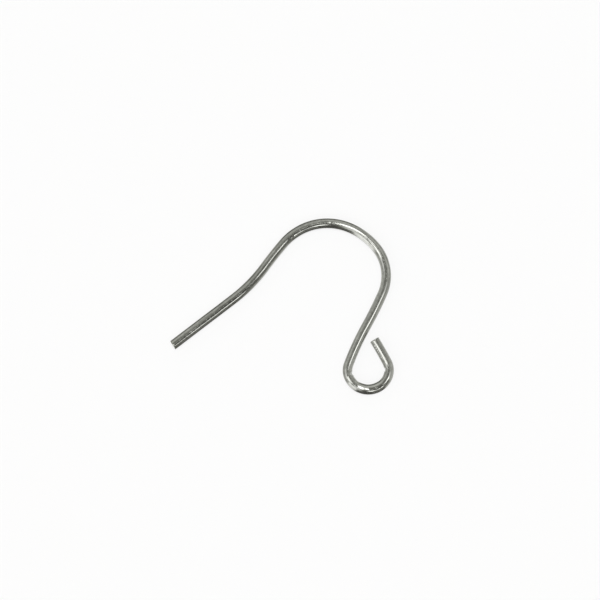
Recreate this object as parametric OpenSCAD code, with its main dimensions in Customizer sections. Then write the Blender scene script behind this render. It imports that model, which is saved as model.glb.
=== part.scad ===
/* [Wire] */
// Diameter of the round wire, 20 gauge
wire_d = 0.8; // [0.5:0.05:1.2]
// Sharp edge taken off both cut ends
edge_break = 0.04; // [0.01:0.01:0.06]

/* [Tail] */
// Straight tail that passes through the piercing and hangs behind the lobe
tail_len = 6.3; // [3:0.1:15]
// Centreline radius of the easy bend that lifts the hook off the tail
kink_r = 13; // [5:0.5:30]
// Turn of the easy bend
kink_deg = 16.5; // [5:0.5:40]

/* [Hook] */
// Back leg, from the easy bend to the arch
leg_len = 2.5; // [1:0.1:6]
// Centreline radius at the back of the arch
arch_r = 4.75; // [3:0.05:8]
// Turn of the whole arch
arch_deg = 163; // [130:1:185]
// Shank, from the arch down to the eye
shank_len = 6.5; // [4:0.1:12]

/* [Eye] */
// Centreline radius at the bottom of the eye
eye_r = 1.75; // [1.3:0.05:3]
// Turn of the eye before its last short run
eye_deg = 228; // [205:1:245]
// Mouth of the eye, between its cut end and the shank
eye_gap = 0.5; // [0.2:0.05:1.5]

/* [Hidden] */
$fn = 72;

wire_r = wire_d / 2;
steel = [0.64, 0.64, 0.61];

// The arch is bent in three goes, each a share of arch_r and a share of arch_deg
ARCH_SHARES = [[1, 0.42], [1.16, 0.20], [0.77, 0.38]];
// The shank is a slight S, each half a share of shank_len and the degrees that it bows
SHANK_SHARES = [[0.47, -5.5], [0.53, 9]];
// The eye is rolled in three goes, each a share of eye_r and a share of eye_deg
EYE_SHARES = [[0.80, 0.20], [1, 0.55], [0.84, 0.25]];
// How far the back leg and the eye's last run bow
leg_bow_deg = -4.5;
end_bow_deg = 4;

// Every other run from the tail on is a hair thinner than the wire and laps into its neighbours
hair = 0.003;
lap = 0.04;

// The centreline is a chain of arcs that follow the tail, each [radius, turn], left turns plus
BENDS = [
    [kink_r, kink_deg],
    bowed(leg_len, leg_bow_deg),
    for (go = ARCH_SHARES) [go[0] * arch_r, -go[1] * arch_deg],
    for (half = SHANK_SHARES) bowed(half[0] * shank_len, half[1]),
    for (go = EYE_SHARES) [go[0] * eye_r, go[1] * eye_deg]
];
RUNS = concat(BENDS, [bowed(end_len(), end_bow_deg)]);
last = len(RUNS) - 1;

// Where each run starts, as [point, heading], and where the last one ends
SPOTS = spots(RUNS);

function radius(run) = run[0];
function turn(run) = run[1];
function point(spot) = spot[0];
function heading(spot) = spot[1];
function unit(angle) = [cos(angle), sin(angle)];
function left(angle) = [-sin(angle), cos(angle)];

// A nearly straight run of a given length
function bowed(length, bow) = [length * 180 / (PI * abs(bow)), bow];

// From a point where a run has a given heading to the run's centre
function inward(run, angle) = sign(turn(run)) * radius(run) * left(angle);
function centre(run, spot) = point(spot) + inward(run, heading(spot));
function after(run, spot) =
    let (angle = heading(spot) + turn(run))
    [centre(run, spot) - inward(run, angle), angle];
function spots(runs, i = 0, spot = [[tail_len, 0], 0]) =
    i == len(runs) ? [spot] : concat([spot], spots(runs, i + 1, after(runs[i], spot)));

// Length of the last run: it stops where its inner corner is eye_gap short of the lower shank
function end_len() =
    let (
        chain = spots(BENDS),
        start = chain[len(BENDS)],
        i = len(BENDS) - len(EYE_SHARES) - 1,
        corner = point(start) + wire_r * left(heading(start) + end_bow_deg),
        from_centre = corner - centre(BENDS[i], chain[i]),
        limit = radius(BENDS[i]) - wire_r - eye_gap,
        along = from_centre * unit(heading(start) + end_bow_deg / 2)
    )
    sqrt(pow(along, 2) - from_centre * from_centre + pow(limit, 2)) - along;

// How far the wire reaches in a direction: the outermost point of each run and of the tail's tip
function reach(angle) =
    max(wire_r * abs(sin(angle)), max([for (i = [0:last]) run_reach(RUNS[i], SPOTS[i], angle)]));
function run_reach(run, spot, angle) =
    let (
        side = sign(turn(run)),
        offset = (angle + side * 90 - heading(spot)) * side,
        within = offset - 360 * round(offset / 360),
        outermost = heading(spot) + side * max(0, min(abs(turn(run)), within))
    )
    (centre(run, spot) - inward(run, outermost)) * unit(angle) + wire_r * abs(sin(outermost - angle));
middle = [reach(0) - reach(180), reach(90) - reach(270)] / 2;

// One run of the wire; the last one has no lap at its free end
module bend(i) {
    run = RUNS[i];
    thin = i % 2 == 0;
    lap_deg = thin ? lap * 180 / (PI * radius(run)) : 0;
    end_lap_deg = i < last ? lap_deg : 0;
    start = heading(SPOTS[i]) + (turn(run) > 0 ? -90 - lap_deg : turn(run) + 90 - end_lap_deg);
    translate(centre(run, SPOTS[i]))
        rotate_extrude(angle = abs(turn(run)) + lap_deg + end_lap_deg, start = start)
            translate([radius(run), 0]) circle(r = thin ? wire_r - hair : wire_r);
}

// The tail's rim is a short cone, and the rest is the true cylinder
module tail() {
    rotate([0, 90, 0]) {
        cylinder(h = edge_break, r1 = wire_r - edge_break, r2 = wire_r);
        translate([0, 0, edge_break]) cylinder(h = tail_len - edge_break, r = wire_r);
    }
}

// What a file takes off the rim of the eye's cut end, as a ring with a conical hole
module rim_cut() {
    spot = SPOTS[last + 1];
    translate(point(spot)) rotate([0, 90, heading(spot)]) difference() {
        translate([0, 0, -2 * edge_break]) cylinder(h = 3 * edge_break, r = wire_d);
        translate([0, 0, -3 * edge_break])
            cylinder(h = 5 * edge_break, r1 = wire_r + 2 * edge_break, r2 = wire_r - 3 * edge_break);
    }
}

// One piece of wire that lies flat: straight tail, easy bend, back leg, arch, shank and open eye
module ear_wire() {
    color(steel) translate([-middle[0], -middle[1], wire_r]) {
        tail();
        for (i = [0:last - 1]) bend(i);
        difference() {
            bend(last);
            rim_cut();
        }
    }
}

ear_wire();
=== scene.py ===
import math

import bpy
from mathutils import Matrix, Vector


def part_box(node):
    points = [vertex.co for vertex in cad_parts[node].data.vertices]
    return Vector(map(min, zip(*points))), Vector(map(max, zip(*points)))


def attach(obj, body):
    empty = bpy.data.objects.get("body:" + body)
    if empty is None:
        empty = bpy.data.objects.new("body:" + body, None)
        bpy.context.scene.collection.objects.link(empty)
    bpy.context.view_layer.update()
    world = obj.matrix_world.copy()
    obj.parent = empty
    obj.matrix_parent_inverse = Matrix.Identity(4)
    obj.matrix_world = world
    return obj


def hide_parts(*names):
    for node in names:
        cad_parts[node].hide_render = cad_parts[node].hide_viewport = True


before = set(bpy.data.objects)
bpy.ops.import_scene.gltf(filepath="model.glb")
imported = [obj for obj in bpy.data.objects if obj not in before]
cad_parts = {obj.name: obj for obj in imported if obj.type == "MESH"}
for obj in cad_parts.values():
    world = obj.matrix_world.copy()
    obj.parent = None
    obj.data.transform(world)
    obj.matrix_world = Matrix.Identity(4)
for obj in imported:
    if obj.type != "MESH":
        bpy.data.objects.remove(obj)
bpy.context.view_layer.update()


# The ear wire: one length of hard-drawn stainless steel wire, with nothing soldered or threaded
# on it. It was snipped off the coil, filed at its ends and tumbled bright, and then bent cold
# round pins. It lies flat.
MM = 0.001                     # the frame and Blender count in metres
low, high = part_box("ear_wire")
wire_d = high.z - low.z
wire_r = wire_d / 2


def round_bend(radius, turn):
    """A bend of the centre line round a pin, as the length of wire in it and its turn."""
    return radius * math.radians(abs(turn)), turn


# Sizes of the hook as in the part's source, in mm and degrees
TAIL_LEN = 6.3
KINK_R = 13
KINK_TURN = 16.5
LEG_LEN = 2.5
ARCH_R = 4.75
ARCH_TURN = 163
SHANK_LEN = 6.5
EYE_R = 1.75
EYE_TURN = 228
END_LEN = 2.124                # leaves a mouth of 0.5 mm between the cut end and the shank

# Each go of the bending: the length of wire in it, and its turn with left turns plus
BENDING = (
    (TAIL_LEN, 0),
    round_bend(KINK_R, KINK_TURN),                   # easy bend that lifts the hook off the tail
    (LEG_LEN, -4.5),                                 # back leg, hardly bowed
    round_bend(ARCH_R, -0.42 * ARCH_TURN),           # arch, in three goes
    round_bend(1.16 * ARCH_R, -0.20 * ARCH_TURN),
    round_bend(0.77 * ARCH_R, -0.38 * ARCH_TURN),
    (0.47 * SHANK_LEN, -5.5),                        # shank, bowed to and fro
    (0.53 * SHANK_LEN, 9),
    round_bend(0.80 * EYE_R, 0.20 * EYE_TURN),       # eye, rolled in three goes
    round_bend(EYE_R, 0.55 * EYE_TURN),
    round_bend(0.84 * EYE_R, 0.25 * EYE_TURN),
    (END_LEN, 4),                                    # last short run
)


def bending_line(goes, step):
    """Points of the centre line from the tail's tip on, in mm, with the tail along +X."""
    x = y = heading = 0.0
    points = [(x, y)]
    for length, turn in goes:
        count = math.ceil(length / step)
        share = math.radians(turn) / count
        chord = length / count * (math.sin(share / 2) / (share / 2) if share else 1)
        for _ in range(count):
            x += chord * math.cos(heading + share / 2)
            y += chord * math.sin(heading + share / 2)
            heading += share
            points.append((x, y))
    return points


# The line goes where the frame has the wire: the tail's tip at its left end, the rest midway
LINE_STEP = 0.05               # mm
line = bending_line(BENDING, LINE_STEP)
sideways = [y * MM for _, y in line]
tip_y = (low.y + high.y - min(sideways) - max(sideways)) / 2
line_mesh = bpy.data.meshes.new("bending_line")
line_mesh.from_pydata(
    [(low.x + x * MM, tip_y + y * MM, wire_r) for x, y in line],
    [(i, i + 1) for i in range(len(line) - 1)],
    [],
)
bent_wire = bpy.data.objects.new("bent_wire", line_mesh)
bpy.context.collection.objects.link(bent_wire)


def add(tree, kind, *inputs, **settings):
    """Adds a node with its settings. Its shown inputs are filled in order, from a node or socket
    to link or a value to set, and None leaves one as it is."""
    node = tree.nodes.new(kind)
    for name, value in settings.items():
        setattr(node, name, value)
    for socket, value in zip([s for s in node.inputs if s.enabled], inputs):
        if isinstance(value, bpy.types.Node):
            value = next(s for s in value.outputs if s.enabled)
        if isinstance(value, bpy.types.NodeSocket):
            tree.links.new(value, socket)
        elif value is not None:
            socket.default_value = value
    return node


def linear(code):
    """A hex sRGB colour as linear RGBA."""
    shares = [int(code[i:i + 2], 16) / 255 for i in (1, 3, 5)]
    return [s / 12.92 if s <= 0.04045 else ((s + 0.055) / 1.055) ** 2.4 for s in shares] + [1.0]


# Hard-drawn stainless steel, tumbled bright: a warm grey mirror, streaked along its length by
# shallow die lines that break what it mirrors, and dimpled by the tumbling. The cut ends are
# filed, which leaves them dull and scratched one way.
STEEL_TONE = "#DFE0DA"
STEEL_DULL = "#AEAFA9"
STEEL_ROUGHNESS = (0.06, 0.14)
DIE_LINE_GAP = 0.13 * MM       # real die lines lie closer, and are drawn as coarse as they show
DIE_LINE_LENGTH = 3.2 * MM
DIE_LINE_DEPTH = 0.0045 * MM
PEEL_SIZE = 0.24 * MM          # dimples of the tumbling, drawn as coarse as they show
PEEL_DEPTH = 0.0006 * MM
PEEL_SHARE = 0.35              # of the dull patches, and the die lines make the rest
FILE_LINE_GAP = 0.07 * MM      # drawn as coarse as it shows, too
FILE_LINE_LENGTH = 0.7 * MM
CUT_ROUGHNESS = 0.38
BURNISHED = 0.6                # share of the roughness left where a tool pressed the skin
NOISE_LAYERS = 2.0
LAYER_SHARE = 0.5              # strength of each finer layer of noise
DULL_TO_BRIGHT = (0.38, 0.62)  # noise levels between which the tone goes from dull to bright
SMOOTH_TO_ROUGH = (0.35, 0.65)  # and the skin from smooth to rough

MATH, VECTOR, RANGE = "ShaderNodeMath", "ShaderNodeVectorMath", "ShaderNodeMapRange"
MIX, NOISE = "ShaderNodeMix", "ShaderNodeTexNoise"
steel = bpy.data.materials.new("drawn_tumbled_stainless_steel")
steel.use_nodes = True
shade = steel.node_tree
shade.nodes.clear()
on_blank = add(shade, "ShaderNodeAttribute", attribute_name="blank").outputs["Vector"]
cut_face = add(shade, "ShaderNodeAttribute", attribute_name="cut_face").outputs["Fac"]
pressed = add(shade, "ShaderNodeAttribute", attribute_name="pressed").outputs["Fac"]
die_scale = (1 / DIE_LINE_LENGTH, 1 / DIE_LINE_GAP, 1 / DIE_LINE_GAP)
line_place = add(shade, VECTOR, on_blank, die_scale, operation="MULTIPLY")
die_lines = add(shade, NOISE, line_place, 1.0, NOISE_LAYERS, LAYER_SHARE)
peel = add(shade, NOISE, on_blank, 1 / PEEL_SIZE, NOISE_LAYERS, LAYER_SHARE)
patchy = add(shade, MIX, PEEL_SHARE, die_lines, peel, data_type="FLOAT")
file_scale = (0.0, 1 / FILE_LINE_GAP, 1 / FILE_LINE_LENGTH)
file_place = add(shade, VECTOR, on_blank, file_scale, operation="MULTIPLY")
file_lines = add(shade, NOISE, file_place, 1.0, NOISE_LAYERS, LAYER_SHARE)
patchy = add(shade, MIX, cut_face, patchy, file_lines, data_type="FLOAT")
streak = add(shade, RANGE, patchy, *DULL_TO_BRIGHT, 0.0, 1.0)
tone = add(shade, MIX, streak, linear(STEEL_DULL), linear(STEEL_TONE), data_type="RGBA")
skin = add(shade, RANGE, peel, *SMOOTH_TO_ROUGH, *STEEL_ROUGHNESS)
burnish = add(shade, RANGE, pressed, 0.0, 1.0, 1.0, BURNISHED)
skin = add(shade, MATH, skin, burnish, operation="MULTIPLY")
roughness = add(shade, RANGE, cut_face, 0.0, 1.0, skin, CUT_ROUGHNESS)
peel_bump = add(shade, "ShaderNodeBump", 1.0, PEEL_DEPTH, None, peel)
line_bump = add(shade, "ShaderNodeBump", 1.0, DIE_LINE_DEPTH, None, die_lines, peel_bump)
shader = add(shade, "ShaderNodeBsdfPrincipled", tone, 1.0, roughness)
shade.links.new(line_bump.outputs[0], shader.inputs["Normal"])
add(shade, "ShaderNodeOutputMaterial", shader)

# The wire is made straight and then bent, as at the bench. Where it lay on the straight blank is
# kept on the mesh, so that die lines follow the bends.
SIDES = 48
STATION_GAP = 0.05 * MM
CAP_RINGS = 8
FACE_SHARE = 0.5               # the inner rings of an end are its face, the others its round
FACE_FADE = 0.75               # the file's scratches fade out between these two
END_ROUND = 0.04 * MM          # what the file takes off the rim
END_CROWN = 0.008 * MM         # how far a face's middle stands out
CROWN_POWER = 2.0
TAIL_SKEW = 5                  # degrees
SKEW_FADE = 0.9 * MM
SQUEEZE_PLACE = 35.0 * MM
SQUEEZE_START = 1.3 * MM       # it starts this far off on each side,
SQUEEZE_FULL = 0.6 * MM        # and is full this near
SQUEEZE_SWELL = 0.035 * MM
BURNISH_DEPTH = 0.0045 * MM    # a flat this deep is burnished all through
WANDER_DEPTH = 0.005 * MM
WANDER_SIZE = 0.5 * MM
WANDER_STRETCH = 4             # times longer along the wire than round it
WANDER_LAYERS = 1.0
SEED = 7

# Where snips and pliers pressed the wire: distance from the tail's tip and half length in mm, the
# way it faces in degrees from the left side over the top, how far that leans on towards the eye,
# and depth in mm. The first is the nip of the snips. The two deepest are nicks that the edges of
# the round nose left inside the eye, and the last six are the plier's teeth on its last run.
JAW_MARKS = (
    (0.0, 0.40, 108, -38, 0.090),
    (7.9, 0.35, 60, 0, 0.006),
    (13.65, 0.30, 113, 1, 0.010),
    (16.95, 0.22, 75, 0, 0.006),
    (17.3, 0.16, 20, 0, 0.020),
    (32.65, 0.28, 22, 0, 0.125),
    (34.15, 0.70, 84, 0, 0.009),
    (34.85, 0.45, 77, 3, 0.009),
    (35.9, 0.25, 150, 0, 0.008),
    (37.55, 0.32, 12, 0, 0.115),
    (38.75, 0.12, 49, -9, 0.020),
    (38.96, 0.11, 48, -9, 0.025),
    (39.17, 0.12, 48, -9, 0.020),
    (39.38, 0.11, 49, -9, 0.024),
    (39.59, 0.12, 49, -9, 0.020),
    (39.80, 0.11, 50, -9, 0.023),
)

bend = bpy.data.node_groups.new("wire_made_straight_and_bent", "GeometryNodeTree")
sizes = {
    "Wire diameter": wire_d,
    "Station gap": STATION_GAP,
    "End round": END_ROUND,
    "End crown": END_CROWN,
    "Tail skew": math.tan(math.radians(TAIL_SKEW)),
    "Skew fade": SKEW_FADE,
    "Squeeze place": SQUEEZE_PLACE,
    "Squeeze start": SQUEEZE_START,
    "Squeeze full": SQUEEZE_FULL,
    "Squeeze swell": SQUEEZE_SWELL,
    "Burnish depth": BURNISH_DEPTH,
    "Wander depth": WANDER_DEPTH,
    "Wander size": WANDER_SIZE,
}
counts = {"Sides": SIDES, "Cap rings": CAP_RINGS, "Seed": SEED}
bend.interface.new_socket("Bending line", in_out="INPUT", socket_type="NodeSocketGeometry")
for name in sizes:
    bend.interface.new_socket(name, in_out="INPUT", socket_type="NodeSocketFloat")
for name in counts:
    bend.interface.new_socket(name, in_out="INPUT", socket_type="NodeSocketInt")
bend.interface.new_socket("Finish", in_out="INPUT", socket_type="NodeSocketMaterial")
bend.interface.new_socket("Wire", in_out="OUTPUT", socket_type="NodeSocketGeometry")
given = add(bend, "NodeGroupInput").outputs

path = add(bend, "GeometryNodeMeshToCurve", given["Bending line"])
length = add(bend, "GeometryNodeCurveLength", path)
half_length = add(bend, MATH, length, 0.5, operation="MULTIPLY")
radius = add(bend, MATH, given["Wire diameter"], 0.5, operation="MULTIPLY")
stations = add(bend, MATH, length, given["Station gap"], operation="DIVIDE")
blank = add(
    bend, "GeometryNodeMeshCylinder", given["Sides"], stations, given["Cap rings"], 1.0, 2.0,
    fill_type="TRIANGLE_FAN",
)

# The inner rings of the blank's ends are the cut face, and the others its filed round. The blank
# comes as a cylinder of radius and half length 1, and is sized here.
place = add(bend, "GeometryNodeInputPosition")
across = add(bend, VECTOR, place, (1, 1, 0), operation="MULTIPLY")
ring = add(bend, VECTOR, across, operation="LENGTH")
outward = add(bend, VECTOR, across, operation="NORMALIZE")
end = add(bend, "ShaderNodeSeparateXYZ", place).outputs["Z"]
on_face = add(bend, RANGE, ring, 0.0, FACE_SHARE, 0.0, 1.0)
round_turn = add(bend, RANGE, ring, FACE_SHARE, 1.0, 0.0, math.pi / 2)
face_r = add(bend, MATH, radius, given["End round"], operation="SUBTRACT")
flat_r = add(bend, MATH, face_r, on_face, operation="MULTIPLY")
round_out = add(bend, MATH, round_turn, operation="SINE")
skin_r = add(bend, MATH, round_out, given["End round"], flat_r, operation="MULTIPLY_ADD")
round_in = add(bend, MATH, round_turn, operation="COSINE")
round_back = add(bend, MATH, 1.0, round_in, operation="SUBTRACT")
round_back = add(bend, MATH, round_back, given["End round"], operation="MULTIPLY")
crown = add(bend, MATH, on_face, CROWN_POWER, operation="POWER")
inset = add(bend, MATH, crown, given["End crown"], round_back, operation="MULTIPLY_ADD")
reach = add(bend, MATH, half_length, inset, operation="SUBTRACT")
along = add(bend, MATH, reach, end, half_length, operation="MULTIPLY_ADD")

# The snips met the tail a little askew, so that its left side is the shorter one
side = add(bend, VECTOR, outward, skin_r, operation="SCALE")
leftward = add(bend, "ShaderNodeSeparateXYZ", side)
left_share = add(bend, MATH, leftward.outputs["X"], radius, operation="ADD")
skew = add(
    bend, RANGE, along, 0.0, given["Skew fade"], given["Tail skew"], 0.0,
    interpolation_type="SMOOTHSTEP",
)
along = add(bend, MATH, left_share, skew, along, operation="MULTIPLY_ADD")
straight = add(
    bend, "ShaderNodeCombineXYZ", along, leftward.outputs["X"], leftward.outputs["Y"],
)

# Rolling the eye squeezed the wire's left side out, towards the eye's middle
away = add(bend, MATH, along, given["Squeeze place"], operation="SUBTRACT")
away = add(bend, MATH, away, operation="ABSOLUTE")
swell = add(
    bend, RANGE, away, given["Squeeze start"], given["Squeeze full"], 0.0, given["Squeeze swell"],
    interpolation_type="SMOOTHSTEP",
)
left_of = add(bend, MATH, leftward.outputs["X"], radius, operation="DIVIDE")
left_of = add(bend, MATH, left_of, 0.0, operation="MAXIMUM")
swell = add(bend, MATH, swell, left_of, operation="MULTIPLY")
swell = add(bend, "ShaderNodeCombineXYZ", 0.0, swell, 0.0)
spot = add(bend, VECTOR, straight, swell, operation="ADD")

# Jaws and pins press small flats into the skin, and burnish it there
pressed_in = 0.0
for distance, half, facing, lean, depth in JAW_MARKS:
    facing, lean = math.radians(facing), math.radians(lean)
    way = (
        math.sin(lean), math.cos(lean) * math.cos(facing), math.cos(lean) * math.sin(facing),
    )
    from_mark = add(bend, VECTOR, spot, (distance * MM, 0, 0), operation="SUBTRACT")
    proud = add(bend, VECTOR, from_mark, way, operation="DOT_PRODUCT")
    skin_out = add(bend, MATH, radius, math.cos(lean), operation="MULTIPLY")
    over = add(bend, MATH, proud, skin_out, operation="SUBTRACT")
    over = add(bend, MATH, over, depth * MM, operation="ADD")
    over = add(bend, MATH, over, 0.0, depth * MM, operation="SMOOTH_MAX")
    away = add(bend, MATH, along, distance * MM, operation="SUBTRACT")
    away = add(bend, MATH, away, operation="ABSOLUTE")
    beside = add(bend, RANGE, away, half * MM, 0.0, 0.0, 1.0, interpolation_type="SMOOTHSTEP")
    over = add(bend, MATH, over, beside, operation="MULTIPLY")
    push = add(bend, VECTOR, way, over, operation="SCALE")
    spot = add(bend, VECTOR, spot, push, operation="SUBTRACT")
    pressed_in = add(bend, MATH, pressed_in, over, operation="ADD")
pressed_share = add(bend, RANGE, pressed_in, 0.0, given["Burnish depth"], 0.0, 1.0)

# The skin wanders a few thousandths of a millimetre inward
wander_scale = add(bend, MATH, 1.0, given["Wander size"], operation="DIVIDE")
wander_place = add(bend, VECTOR, straight, (1 / WANDER_STRETCH, 1, 1), operation="MULTIPLY")
wander = add(
    bend, NOISE, wander_place, given["Seed"], wander_scale, WANDER_LAYERS, noise_dimensions="4D",
)
wander = add(bend, MATH, wander, given["Wander depth"], operation="MULTIPLY")
inward = add(bend, MATH, wander, -1.0, operation="MULTIPLY")
shift = add(bend, VECTOR, outward, inward, operation="SCALE")
shift = add(bend, "ShaderNodeSeparateXYZ", shift)
shift = add(bend, "ShaderNodeCombineXYZ", 0.0, shift.outputs["X"], shift.outputs["Y"])
spot = add(bend, VECTOR, spot, shift, operation="ADD")

# Every point of the blank is carried to its place along the bending line
UPWARD = (0, 0, 1)
spot_axes = add(bend, "ShaderNodeSeparateXYZ", spot).outputs
follow = add(bend, "GeometryNodeSampleCurve", path, None, spot_axes["X"], mode="LENGTH")
left = add(bend, VECTOR, UPWARD, follow.outputs["Tangent"], operation="CROSS_PRODUCT")
left = add(bend, VECTOR, left, spot_axes["Y"], operation="SCALE")
up = add(bend, VECTOR, UPWARD, spot_axes["Z"], operation="SCALE")
bent = add(bend, VECTOR, follow.outputs["Position"], left, operation="ADD")
bent = add(bend, VECTOR, bent, up, operation="ADD")

# The mesh keeps three things for the steel: its place on the blank, what is cut, what is pressed
is_cut = add(bend, RANGE, ring, FACE_SHARE, FACE_FADE, 1.0, 0.0)
kept = add(
    bend, "GeometryNodeStoreNamedAttribute", blank, None, "blank", straight,
    data_type="FLOAT_VECTOR", domain="POINT",
)
kept = add(
    bend, "GeometryNodeStoreNamedAttribute", kept, None, "cut_face", is_cut,
    data_type="FLOAT", domain="POINT",
)
kept = add(
    bend, "GeometryNodeStoreNamedAttribute", kept, None, "pressed", pressed_share,
    data_type="FLOAT", domain="POINT",
)
shaped = add(bend, "GeometryNodeSetPosition", kept, None, bent)
smooth = add(bend, "GeometryNodeSetShadeSmooth", shaped)
whole = add(bend, "GeometryNodeRealizeInstances", smooth)
finished = add(bend, "GeometryNodeSetMaterial", whole, None, given["Finish"])
add(bend, "NodeGroupOutput", finished)

making = bent_wire.modifiers.new("made_straight_and_bent", "NODES")
making.node_group = bend
inputs = sizes | counts | {"Finish": steel}
for item in bend.interface.items_tree:
    if item.name in inputs:
        making[item.identifier] = inputs[item.name]
evaluated = bent_wire.evaluated_get(bpy.context.evaluated_depsgraph_get())
wire_mesh = bpy.data.meshes.new_from_object(evaluated)
wire_mesh.name = "bent_wire"
bent_wire.modifiers.clear()
bent_wire.data = wire_mesh

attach(bent_wire, "root")
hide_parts("ear_wire")


# The table is a sheet of opal acrylic, white and lit from below, so that the wire hardly throws
# a shadow. One soft lamp behind it gives the thin shadow where the wire touches the sheet. The
# wire mirrors neither of them, because the studio's sky has the bench in it.
TABLE_HALF = 0.5               # metres
TABLE_CORNERS = ((-1, -1), (1, -1), (1, 1), (-1, 1))
TABLE_TONE = "#FFFFFF"
TABLE_DIFFUSE = 0.22           # light that the sheet throws back
TABLE_GLOW = 0.69              # light that comes through it

table_mesh = bpy.data.meshes.new("table")
table_mesh.from_pydata(
    [(x * TABLE_HALF, y * TABLE_HALF, 0) for x, y in TABLE_CORNERS], [], [(0, 1, 2, 3)],
)
table = bpy.data.objects.new("table", table_mesh)
bpy.context.collection.objects.link(table)
opal = bpy.data.materials.new("lit_opal_acrylic")
opal.use_nodes = True
sheet = opal.node_tree
sheet.nodes.clear()
white = add(sheet, "ShaderNodeBsdfDiffuse", [TABLE_DIFFUSE] * 3 + [1.0])
glow = add(sheet, "ShaderNodeEmission", linear(TABLE_TONE), TABLE_GLOW)
both = add(sheet, "ShaderNodeAddShader", white, glow)
add(sheet, "ShaderNodeOutputMaterial", both)
table_mesh.materials.append(opal)
table.visible_glossy = False

# All angles of the lamp, the studio and the camera are in degrees
PHOTO_TURN = 37.29             # how far the photograph is turned from the frame
LAMP_AZIMUTH = 95              # from the photograph's right edge
LAMP_FROM_ZENITH = 9
LAMP_WIDTH = 4
LAMP_STRENGTH = 2.4

lamp_data = bpy.data.lights.new("soft_lamp", "SUN")
lamp_data.energy = LAMP_STRENGTH
lamp_data.angle = math.radians(LAMP_WIDTH)
lamp = bpy.data.objects.new("soft_lamp", lamp_data)
bpy.context.collection.objects.link(lamp)
lamp.rotation_euler = (
    0, math.radians(LAMP_FROM_ZENITH), math.radians(LAMP_AZIMUTH - PHOTO_TURN),
)
lamp.visible_glossy = False


# The studio: a grey tent all round, with soft boxes, strips and black flags hung in it. Each one
# is a patch of the sky as the wire sees it, and azimuths count from the photograph's right edge.
TENT = 0.51                    # brightness of its cloth
BENCH = 0.62                   # and of the lit sheet round the wire
TENT_HEM = (95, 115)           # from the zenith: the tent gives way to the bench between these
CLOTH_TONE = "#FDFEF4"         # dim cloth is a little warmer than the lamps
LAMP_TONE = "#FFFFFF"
CLOTH_TO_LAMP = (0.1, 0.8)     # brightness between which the tone goes from one to the other
BACKDROP = 0.983               # what a camera that looks past the table sees

# Each row: azimuth from and to, angle from the zenith from and to, softness of the edges, and
# brightness. A later row hangs in front of the earlier ones, a minus in the second pair reaches
# over the zenith, and the last is the camera, dark above the wire.
STUDIO = (
    ("overhead", -190, 190, -41, 41, 34, 0.26),
    ("tent_skirt", -190, 190, 84, 108, 20, 0.38),
    ("tent_left", 150, 200, 40, 100, 18, 0.50),
    ("tent_right", -28, 18, 30, 100, 12, 0.50),
    ("tent_back", 84, 142, 48, 80, 14, 0.57),
    ("tent_back_right", 20, 38, 56, 110, 12, 0.40),
    ("bench_back", 60, 140, 98, 160, 16, 0.20),
    ("fold_back_left", 137, 149, 74, 100, 8, 0.27),
    ("fold_back_left_high", 136, 149, 12, 34, 8, 0.16),
    ("bench_front", -125, -48, 98, 160, 16, 0.08),
    ("shade_front", -118, -30, -10, 84, 12, 0.18),
    ("shade_front_low", -118, -46, 80, 112, 10, 0.20),
    ("flag_tail", -62, -44, 2, 30, 8, 0.07),
    ("black_flag_front", -102, -80, 54, 106, 10, 0.125),
    ("glow_front_left", -126, -106, 0, 62, 12, 0.80),
    ("box_front_left", -142, -119, 31, 98, 5, 1.30),
    ("box_front_left_low", -142, -119, 70, 150, 12, 1.08),
    ("strip_front_left", -152, -131, 4, 24, 7, 1.8),
    ("strip_left", -184, -160, 28, 62, 10, 0.72),
    ("strip_left_low", -170, -152, 34, 68, 8, 1.0),
    ("strip_front_left_low", -156, -142, 17, 44, 8, 1.8),
    ("strip_back", 52, 79, 2, 24, 6, 3.4),
    ("strip_back_end", 42, 56, -10, 12, 6, 2.4),
    ("strip_back_over", -126, -98, 2, 10, 5, 2.7),
    ("glow_back", 60, 84, 24, 50, 10, 0.65),
    ("seam_front_left", -131, -119, 7, 27, 5, 0.12),
    ("seam_front_left_low", -139, -129, 29, 44, 5, 0.55),
    ("strip_back_low", 55, 70, 24, 34, 7, 1.0),
    ("strip_front", -88, -73, 32, 50, 6, 2.3),
    ("strip_front_right_far", -74, -57, 38, 56, 6, 0.85),
    ("strip_front_right", -62, -49.5, 40, 54, 4, 2.3),
    ("flag_front_right", -58, -55.2, 38, 56, 2.5, 0.2),
    ("strip_right", -31, -21, 14, 35, 5, 2.1),
    ("strip_right_far", -22, -9, 14, 42, 6, 0.8),
    ("strip_right_inner", -42, -30, 9, 26, 4, 1.85),
    ("flag_right", -41, -31, 42, 84, 6, 0.19),
    ("camera", -190, 190, -20, 3, 3, 0.15),
)

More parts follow.
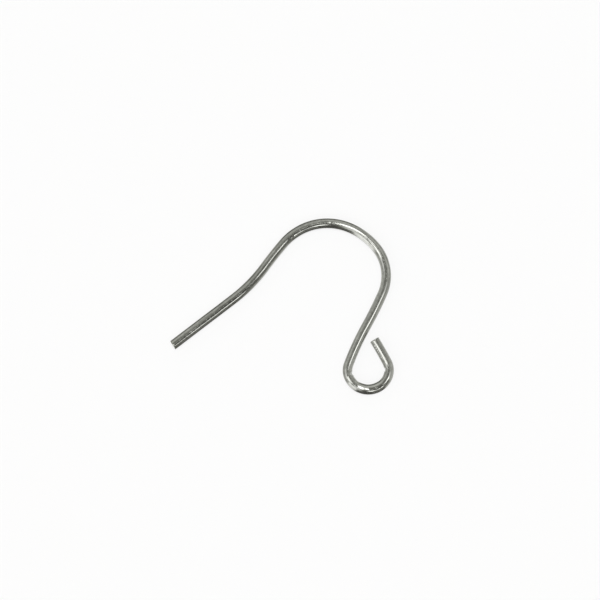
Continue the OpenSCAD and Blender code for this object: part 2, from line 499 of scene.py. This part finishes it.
world = bpy.data.worlds.new("studio")
world.use_nodes = True
bpy.context.scene.world = world
sky = world.node_tree
sky.nodes.clear()
toward = add(sky, "ShaderNodeTexCoord").outputs["Generated"]
turned = add(sky, "ShaderNodeMapping", toward, None, (0, 0, math.radians(PHOTO_TURN)))
axes = add(sky, "ShaderNodeSeparateXYZ", turned).outputs
azimuth = add(sky, MATH, axes["Y"], axes["X"], operation="ARCTAN2")
from_zenith = add(sky, MATH, axes["Z"], operation="ARCCOSINE")
hem = [math.radians(angle) for angle in TENT_HEM]
light = add(sky, RANGE, from_zenith, *hem, TENT, BENCH)
for name, *angles, brightness in STUDIO:
    az_from, az_to, down_from, down_to, soft = (math.radians(angle) for angle in angles)
    off = add(sky, MATH, azimuth, (az_from + az_to) / 2, operation="SUBTRACT")
    off = add(sky, MATH, off, math.pi, -math.pi, operation="WRAP")
    off = add(sky, MATH, off, operation="ABSOLUTE")
    half = (az_to - az_from) / 2
    wide = add(
        sky, RANGE, off, half + soft / 2, half - soft / 2, 0.0, 1.0,
        interpolation_type="SMOOTHSTEP",
    )
    off = add(sky, MATH, from_zenith, (down_from + down_to) / 2, operation="SUBTRACT")
    off = add(sky, MATH, off, operation="ABSOLUTE")
    half = (down_to - down_from) / 2
    tall = add(
        sky, RANGE, off, half + soft / 2, half - soft / 2, 0.0, 1.0,
        interpolation_type="SMOOTHSTEP",
    )
    patch = add(sky, MATH, wide, tall, operation="MULTIPLY")
    patch.label = name
    light = add(sky, MIX, patch, light, brightness, data_type="FLOAT")
seen = add(sky, "ShaderNodeLightPath").outputs["Is Camera Ray"]
light = add(sky, MIX, seen, light, BACKDROP, data_type="FLOAT")
lit = add(sky, RANGE, light, *CLOTH_TO_LAMP, 0.0, 1.0)
warmth = add(sky, MIX, lit, linear(CLOTH_TONE), linear(LAMP_TONE), data_type="RGBA")
tinted_light = add(sky, "ShaderNodeBackground", warmth, light)
add(sky, "ShaderNodeOutputWorld", tinted_light)
bpy.context.scene.view_settings.view_transform = "Standard"


# The camera looks straight down through a long lens, turned so that the tail climbs to the right
# as in the photograph, with the tail's tip at the same place in the picture.
PHOTO_SIDE = 600               # pixels
PHOTO_MM_PER_PIXEL = 0.0825
TAIL_TIP_PIXEL = (172.34, 345.53)
LENS = 200
SENSOR = 36
CLIP = (0.01, 10)              # metres

turn = math.radians(PHOTO_TURN)
right_px = PHOTO_SIDE / 2 - TAIL_TIP_PIXEL[0]
up_px = TAIL_TIP_PIXEL[1] - PHOTO_SIDE / 2
scale = PHOTO_MM_PER_PIXEL * MM
camera_data = bpy.data.cameras.new("camera")
camera_data.lens = LENS
camera_data.sensor_width = SENSOR
camera_data.clip_start, camera_data.clip_end = CLIP
camera = bpy.data.objects.new("camera", camera_data)
bpy.context.collection.objects.link(camera)
camera.location = (
    low.x + scale * (right_px * math.cos(turn) + up_px * math.sin(turn)),
    tip_y + scale * (up_px * math.cos(turn) - right_px * math.sin(turn)),
    wire_r + PHOTO_SIDE * scale * LENS / SENSOR,
)
camera.rotation_euler = (0, 0, -turn)
bpy.context.scene.camera = camera
